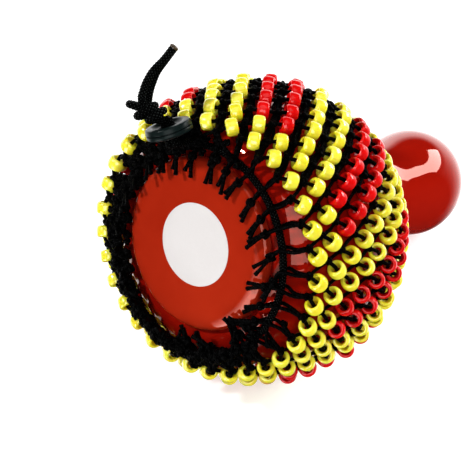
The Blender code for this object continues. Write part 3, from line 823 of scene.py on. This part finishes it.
for column in range(COLUMNS):
    knot = knot_at[0, column]
    bead = bead_at[0, column][0]
    angle = math.atan2(-knot.x, knot.y)
    at = degrees_round(angle)
    ring_at = draw_point(angle)
    away_from_axis = around(angle)
    tangent = Vector((0, 0, 1)).cross(away_from_axis)
    lead = (-away_from_axis * along(INWARD, at) + down * (along(HANG, at) + dice.uniform(-0.15, 0.15))
            + tangent * dice.gauss(0, along(WILD, at)))
    lead.z = -dice.uniform(0.12, 0.35) - 0.85 * ease((-30.0 - at) / 20.0)
    lead.normalize()
    bind = ring_at + lead * (along(REACH, at) + dice.uniform(-0.6, 0.8)) * MM
    bind.z = min(bind.z, -dice.uniform(0.4, 1.4) * MM)
    gap = dice.choice((0.6, 0.7, 0.95))
    bow = dice.gauss(0, 0.7)
    for sign in (-1.0, 1.0):
        offset = tangent * sign * gap * MM
        over = ring_at + Vector((0, 0, -sign)) * 2.75 * MM
        strand(cords, [knot + offset * 0.5, (knot * 0.5 + ring_at * 0.5) + offset + tangent * bow * MM
                       + Vector((0, 0, -sign * 0.5 * MM)),
                       over + offset * 0.6, bind + offset * 0.3], CORD_RADIUS * 1.05)
    tie(cords, bind, (lead + any_way() * 0.4).normalized(), dice.uniform(0.95, 1.15), stretch=1.3)
    for sign in (-1.0, 1.0):
        length = along(CUT, at) * dice.uniform(0.8, 1.12) * MM
        part = (lead + tangent * sign * dice.uniform(0.05, 0.3) + down * 0.1
                + Vector((0, 0, dice.uniform(-0.15, 0.1)))).normalized()
        tip = bind + part * length
        tip.z = min(tip.z, -1.9 * MM)
        half = bind + (part * 0.7 + lead * 0.3) * length * 0.5 + tangent * sign * 0.3 * MM
        half.z = min(half.z, -1.7 * MM)
        route = resample(smooth_path([bind, half, tip], 6), 1.0 * MM)
        frayed = 1.05 + 0.26 * np.clip(np.linspace(-3.5, 1.0, len(route)), 0.0, 1.0)
        cut_ends.tube(route, CORD_RADIUS * frayed, 8, blunt=0.14)
    # slack cords piled up between the first beads and the drawstring; from about 106° to 150° round the foot they
    # also cover shell that lies in shade, a dark stand-in for shadow there
    pile_and_shade = along(PILED_CORDS_AND_SHADE, at)
    inner = along(INNER, at)
    for k in range(int((6 + 5.0 * inner) * pile_and_shade + dice.random())):
        t = 0.45 + (inner - 0.45) * dice.random()
        here = bead.lerp(ring_at, t) + tangent * dice.uniform(-5.5, 5.5) * MM
        here.z -= dice.uniform(0.4, 2.0) * MM
        if t > 0.75:
            bed = along(RIM_BED, math.hypot(here.x, here.y) / MM)
            here.z = min(here.z, (bed - dice.uniform(0.0, 1.1)) * MM)
        tie(cords, here, any_way(), dice.uniform(0.7, 1.0))
    for k in range(int(4 * pile_and_shade + dice.random())):
        goal = draw_point(angle + math.radians(dice.uniform(-13, 13)))
        middle = (knot + goal) / 2 + tangent * dice.gauss(0, 2.0) * MM
        middle.z -= dice.uniform(0.6, 2.4) * MM
        strand(cords, [knot, middle, goal])
cords.piece("net_cords", NET_CORD, "bead_net")
cut_ends.piece("cut_cord_ends", NET_CORD, "bead_net")


# ------------------------------------------------- drawstring, collar and stop
def braid_relief(strands, pitch, depth):
    def relief(turn, s):
        one = np.cos(2 * math.pi * (strands * turn + s / pitch))
        two = np.cos(2 * math.pi * (strands * turn - s / pitch))
        return depth * (np.minimum(one, two) + 0.2)
    return relief


RELIEF = braid_relief(6, 1.6 * MM, 0.15 * MM)
side = STOP_AXIS.cross(Vector((0.0, 0.0, 1.0))).normalized()
if side.dot(around(LEAD_AT + 0.1) - around(LEAD_AT - 0.1)) < 0:
    side.negate()
ring_gap = math.radians(7.0)
sweep = 2 * math.pi - 2 * ring_gap
loop = [draw_point(LEAD_AT + ring_gap + sweep * k / 30) for k in range(31)]
lead_in = [STOP_CENTRE + STOP_AXIS * h * MM for h in (-8.0, -2.5, 4.2)]
forward = around(LEAD_AT) * 51.0 * MM + Vector((0.0, 0.0, -4.6 * MM))
lead_a = ([forward + side * 3.6 * MM] + [p + side * LEAD_SPREAD for p in lead_in]
          + [p + side * 1.7 * MM for p in INTO_KNOT])
lead_b = ([forward - side * 3.6 * MM] + [p - side * LEAD_SPREAD for p in lead_in]
          + [p - side * 1.7 * MM for p in INTO_KNOT])
draw = Sheet()
draw.tube(resample(smooth_path(list(reversed(lead_a)) + loop + lead_b, 6), 0.28 * MM),
          DRAW_DIAMETER / 2, 32, relief=RELIEF)
draw.piece("drawstring_braided", BRAID, "bead_net", ["drawstring"])

collar = Sheet()
ring_path = [net_point(COLLAR_RING, 2 * math.pi * k / 160,
                       -(BEAD_RADIUS + NET_GAP) + COLLAR_DIAMETER / 2 + NET_GAP) for k in range(160)]
collar.tube(np.array([tuple(p) for p in ring_path]), COLLAR_DIAMETER / 2, 14, closed=True)
collar.piece("neck_collar_braided", BRAID, "bead_net", ["neck_collar"])

stop = Sheet()
r_out, half = STOP_RADIUS, STOP_HALF
under = [(r_out - 1.0 * MM + 1.0 * MM * math.sin(a), -half + 1.0 * MM - 1.0 * MM * math.cos(a))
         for a in (math.radians(15 * k) for k in range(7))]
groove = [(r_out, -0.62 * MM), (r_out - 0.06 * MM, -0.50 * MM), (r_out - 0.85 * MM, -0.40 * MM),
          (r_out - 0.85 * MM, -0.02 * MM), (r_out - 0.06 * MM, 0.08 * MM), (r_out, 0.20 * MM)]
lip = 0.9 * MM
edge = [(r_out - 0.05 * MM, 0.7 * MM)]
edge += [(r_out - 0.3 * MM - lip + lip * math.cos(a), half - 0.15 * MM - lip + lip * math.sin(a))
         for a in (math.radians(7 + 11 * k) for k in range(8))]
dish = [(r_out - 2.2 * MM, half - 0.08 * MM), (r_out - 2.9 * MM, half), (r_out - 3.5 * MM, half - 0.10 * MM),
        (r_out - 4.0 * MM, half - 0.45 * MM), (r_out - 4.6 * MM, half - 0.95 * MM),
        (r_out - 5.4 * MM, half - 1.38 * MM), (r_out - 6.3 * MM, half - 1.58 * MM),
        (STOP_HOLE + 0.25 * MM, half - 1.65 * MM)]
stop.lathe([(STOP_HOLE, -half + 0.4 * MM), (STOP_HOLE + 0.4 * MM, -half), (r_out - 3.2 * MM, -half)]
           + under + groove + edge + dish + [(STOP_HOLE, half - 1.95 * MM)],
           112, STOP_CENTRE, STOP_AXIS)
stop_obj = stop.piece("cord_stop_moulded", PLASTIC, "cord_stop", ["cord_stop"])
stop_obj.data.set_sharp_from_angle(angle=math.radians(28.0))

# the knot above the stop: the doubled cord wrapped round itself, with one bight left out
coil = []
for k in range(161):
    phase = -70.0 + 650.0 * k / 160
    turns = (phase - 90.0) / 360.0
    phase = math.radians(phase)
    coil.append(COIL_FROM.lerp(COIL_TO, turns)
                + COIL_ACROSS * (5.7 - 0.7 * turns) * MM * math.cos(phase)
                + COIL_FRONT * 4.1 * MM * math.sin(phase))
knot_piece = Sheet()
knot_piece.tube(resample(coil, 0.28 * MM), DRAW_DIAMETER / 2, 32, relief=RELIEF)
knot_piece.tube(resample(smooth_path(BIGHT, 10), 0.28 * MM), DRAW_DIAMETER / 2, 32, relief=RELIEF)
knot_piece.piece("stop_knot_tied", BRAID, "bead_net", ["stop_knot"])

for number, knots in ((1, TAIL_1), (2, TAIL_2)):
    begin = knots[0] + (COIL_FROM * 0.7 + COIL_TO * 0.3 - knots[0]).normalized() * 4.5 * MM
    route = resample(smooth_path([begin] + knots, 10), 0.28 * MM)
    tail = Sheet()
    tail.tube(route, DRAW_DIAMETER / 2, 32, relief=RELIEF, blunt=0.12)
    obj = tail.piece("drawstring_tail_%d_braided" % number, BRAID, "bead_net",
                     ["drawstring_tail_%d" % number])
    heading = route[-1] - route[-3]
    heading /= np.linalg.norm(heading)
    seal = Sheet()
    cap = np.array([route[-1] + heading * d * MM for d in (-0.7, -0.2, 0.25, 0.55)])
    seal.tube(cap, np.array([1.86, 2.0, 1.92, 1.55]) * MM, 20, blunt=0.22)
    sealed = seal.piece("tail_%d_sealed_end" % number, TIP, "bead_net")
    world = to_world(route)

# ------------------------------------------------------------ floor and light
floor_look, tree, shader = new_look("floor_pale")
paper = noise(tree, object_place(tree), 30.0, 2.0, 0.5)
tree.links.new(ramp(tree, paper, (0.3, (0.71, 0.71, 0.71)), (0.7, (0.73, 0.73, 0.73))),
               shader.inputs["Base Color"])
shader.inputs["Roughness"].default_value = 0.8
shader.inputs["Specular IOR Level"].default_value = 0.1


shader.inputs["Emission Color"].default_value = (1.0, 1.0, 1.0, 1.0)
reach = node(tree, "ShaderNodeVectorMath", operation="LENGTH")
tree.links.new(object_place(tree), reach.inputs[0])
tree.links.new(span(tree, reach.outputs["Value"], 0.48, 0.93, 0.5, 1.7), shader.inputs["Emission Strength"])
floor_mesh = bpy.data.meshes.new("floor")
size = 5.0
floor_mesh.from_pydata([(-size, -size, 0), (size, -size, 0), (size, size, 0), (-size, size, 0)],
                       [], [(0, 1, 2, 3)])
floor_mesh.materials.append(floor_look)
floor = bpy.data.objects.new("floor", floor_mesh)
bpy.context.scene.collection.objects.link(floor)
floor.location.z = -0.0012
floor.visible_glossy = False

# the studio: a lit wall behind the object, unlit elsewhere, pale where the camera looks past the floor
world = bpy.data.worlds.new("studio")
bpy.context.scene.world = world
world.use_nodes = True
tree = world.node_tree
heading = node(tree, "ShaderNodeTexCoord").outputs["Generated"]
behind = node(tree, "ShaderNodeVectorMath", operation="DOT_PRODUCT")
tree.links.new(heading, behind.inputs[0])
behind.inputs[1].default_value = level
height = node(tree, "ShaderNodeSeparateXYZ")
tree.links.new(heading, height.inputs[0])
wall = math_node(tree, "MULTIPLY", span(tree, behind.outputs["Value"], 0.0, 1.0, 0.04, 0.72),
                 math_node(tree, "MULTIPLY", span(tree, height.outputs[2], 1.0, 0.0, 0.20, 0.38),
                           span(tree, height.outputs[2], 0.0, 1.0, -0.85, -0.65)))
abreast = node(tree, "ShaderNodeVectorMath", operation="DOT_PRODUCT")
tree.links.new(heading, abreast.inputs[0])
abreast.inputs[1].default_value = right
before = math_node(tree, "MULTIPLY", behind.outputs["Value"], -1.0)
bearing = math_node(tree, "ARCTAN2", abreast.outputs["Value"], before)


def card(left, far_right, bottom, top, soft):
    """A lit panel seen only in reflections, between two bearings and two heights in degrees."""
    rise = [math.sin(math.radians(d)) for d in (bottom, top)]
    turn = [math.radians(d) for d in (left, far_right)]
    edge = math.radians(soft)
    wide = math_node(tree, "MULTIPLY", span(tree, bearing, 0.0, 1.0, turn[0] - edge, turn[0] + edge),
                     span(tree, bearing, 1.0, 0.0, turn[1] - edge, turn[1] + edge))
    tall = math_node(tree, "MULTIPLY", span(tree, height.outputs[2], 0.0, 1.0, rise[0] - edge, rise[0] + edge),
                     span(tree, height.outputs[2], 1.0, 0.0, rise[1] - edge, rise[1] + edge))
    return math_node(tree, "MULTIPLY", wide, tall)


cards = math_node(tree, "ADD", math_node(tree, "MULTIPLY", card(-62, -28, -50, -5, 5.0), 5.0),
                  math_node(tree, "MULTIPLY", card(-140, -100, -48, -16, 5.0), 1.2))
cards = math_node(tree, "ADD", cards, math_node(tree, "MULTIPLY", card(66, 150, -42, 8, 8.0), 0.03))
glow = math_node(tree, "ADD", math_node(tree, "ADD", math_node(tree, "MULTIPLY", wall, 1.5), 0.03), cards)
seen = node(tree, "ShaderNodeLightPath").outputs["Is Camera Ray"]
shown = math_node(tree, "ADD", math_node(tree, "MULTIPLY", glow, math_node(tree, "SUBTRACT", 1.0, seen)),
                  math_node(tree, "MULTIPLY", seen, 0.93))
tree.links.new(shown, tree.nodes["Background"].inputs["Strength"])
tree.nodes["Background"].inputs["Color"].default_value = (1.0, 1.0, 1.0, 1.0)

AIM = Vector((0.0, -0.02, 0.09))


def softbox(name, turn, rise, distance, width, height, glow):
    """A rectangular light; turn is to the right of the camera and rise above level, in degrees."""
    turn, rise = math.radians(turn), math.radians(rise)
    direction = (right * math.sin(turn) - level * math.cos(turn)) * math.cos(rise)
    direction = direction + Vector((0, 0, 1)) * math.sin(rise)
    data = bpy.data.lights.new(name, "AREA")
    data.shape = "RECTANGLE"
    data.size, data.size_y = width, height
    data.energy = glow * math.pi * width * height
    lamp = bpy.data.objects.new(name, data)
    bpy.context.scene.collection.objects.link(lamp)
    lamp.location = AIM + direction * distance
    lamp.rotation_euler = (-direction).to_track_quat("-Z", "Y").to_euler()
    lamp.visible_camera = False
    return lamp


softbox("key_left", -73, 41, 1.3, 0.10, 0.10, 285.0)
softbox("box_right", 117, 24.2, 1.2, 0.76, 0.265, 9.6)
window = softbox("window_front", -5, 24, 1.0, 0.72, 0.72, 3.3)
window.visible_diffuse = False
fill = softbox("fill_front", 10, 38, 1.1, 0.5, 0.5, 4.5)
fill.visible_glossy = False
fill = softbox("fill_right", 85, 30, 1.1, 0.5, 0.5, 4.6)
fill.visible_glossy = False
softbox("overhead", 30, 80, 1.5, 1.2, 1.2, 1.0)

bpy.context.scene.view_settings.view_transform = "Standard"
bpy.context.scene.view_settings.look = "Medium High Contrast"
